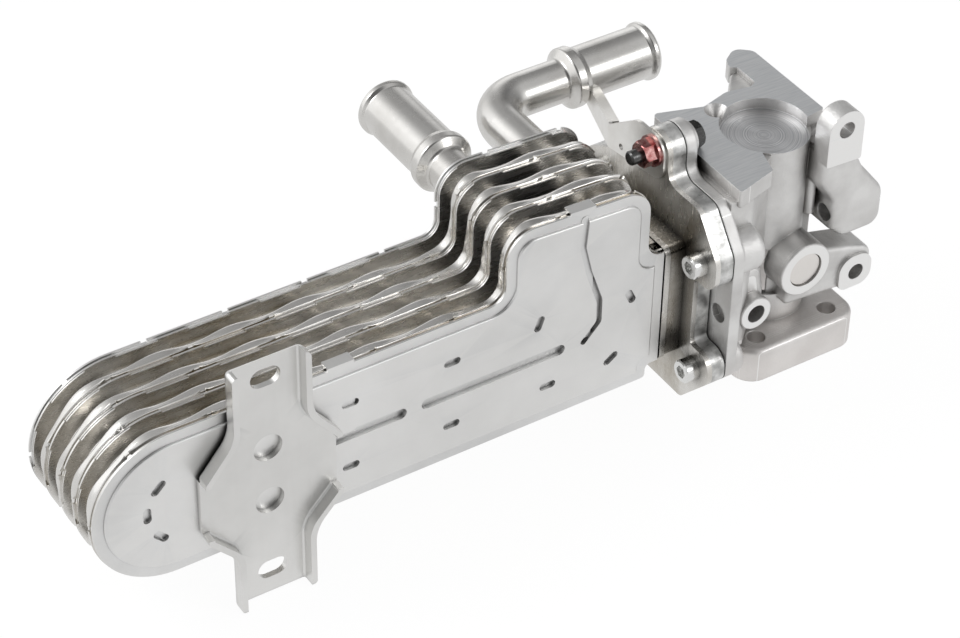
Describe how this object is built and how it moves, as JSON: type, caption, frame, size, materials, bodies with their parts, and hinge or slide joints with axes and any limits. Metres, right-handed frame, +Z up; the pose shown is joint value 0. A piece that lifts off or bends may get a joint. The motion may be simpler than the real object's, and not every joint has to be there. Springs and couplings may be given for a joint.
{
  "type": "exhaust gas recirculation cooler",
  "caption": "Plate-stack exhaust gas cooler: pressed steel plates and trays, two coolant pipes, a mounting bracket and a cast gas housing bolted on by a flange.",
  "frame": {"origin": "centre of the housing foot's bolt pattern, on the foot's lower sealing face", "axes": "+X along the cooler towards the housing, +Y away from the front cover, +Z up from the foot"},
  "size_m": [0.3632, 0.1403, 0.1295],
  "materials": {
    "stack_steel": "pressed stainless sheet, brazed",
    "cover_steel": "satin stainless sheet",
    "inner_steel": "thin stainless sheet",
    "pipe_steel": "drawn stainless tube, satin",
    "stay_steel": "pressed steel strap",
    "bracket_steel": "pressed steel strap, satin",
    "header_steel": "welded stainless sheet",
    "gasket_metal": "beaded metal gasket",
    "plate_steel": "thick steel flange, rough cut edge",
    "gasket_black": "black coated gasket",
    "cast_aluminium": "sand cast, machined faces",
    "zinc_steel": "bright zinc-plated screws",
    "dark_steel": "dark threaded stud",
    "copper_nut": "copper-coloured self-locking nut",
    "plug_steel": "pressed-in steel disc"
  },
  "bodies": {
    "root": {"front_cover": "cover_steel", "coolant_tray_1": "stack_steel", "coolant_tray_2": "stack_steel", "coolant_tray_3": "stack_steel", "coolant_tray_4": "stack_steel", "coolant_plate_1": "stack_steel", "coolant_plate_2": "stack_steel", "coolant_plate_3": "stack_steel", "coolant_plate_4": "stack_steel", "back_cover": "cover_steel", "gas_tube_1": "inner_steel", "gas_tube_2": "inner_steel", "gas_tube_3": "inner_steel", "gas_tube_4": "inner_steel", "gas_fins_lower_1": "inner_steel", "gas_fins_lower_2": "inner_steel", "gas_fins_lower_3": "inner_steel", "gas_fins_lower_4": "inner_steel", "gas_fins_upper_1": "inner_steel", "gas_fins_upper_2": "inner_steel", "gas_fins_upper_3": "inner_steel", "gas_fins_upper_4": "inner_steel", "coolant_stub_pipe": "pipe_steel", "coolant_elbow_pipe": "pipe_steel", "pipe_stay": "stay_steel", "mounting_bracket": "bracket_steel", "gas_header": "header_steel", "header_divider": "header_steel", "flange_gasket": "gasket_metal", "flange_plate": "plate_steel", "housing_gasket": "gasket_black", "housing_casting": "cast_aluminium", "flange_screws": "zinc_steel", "top_stud": "dark_steel", "flange_nut": "copper_nut", "core_plug": "plug_steel"}
  },
  "joints": []
}
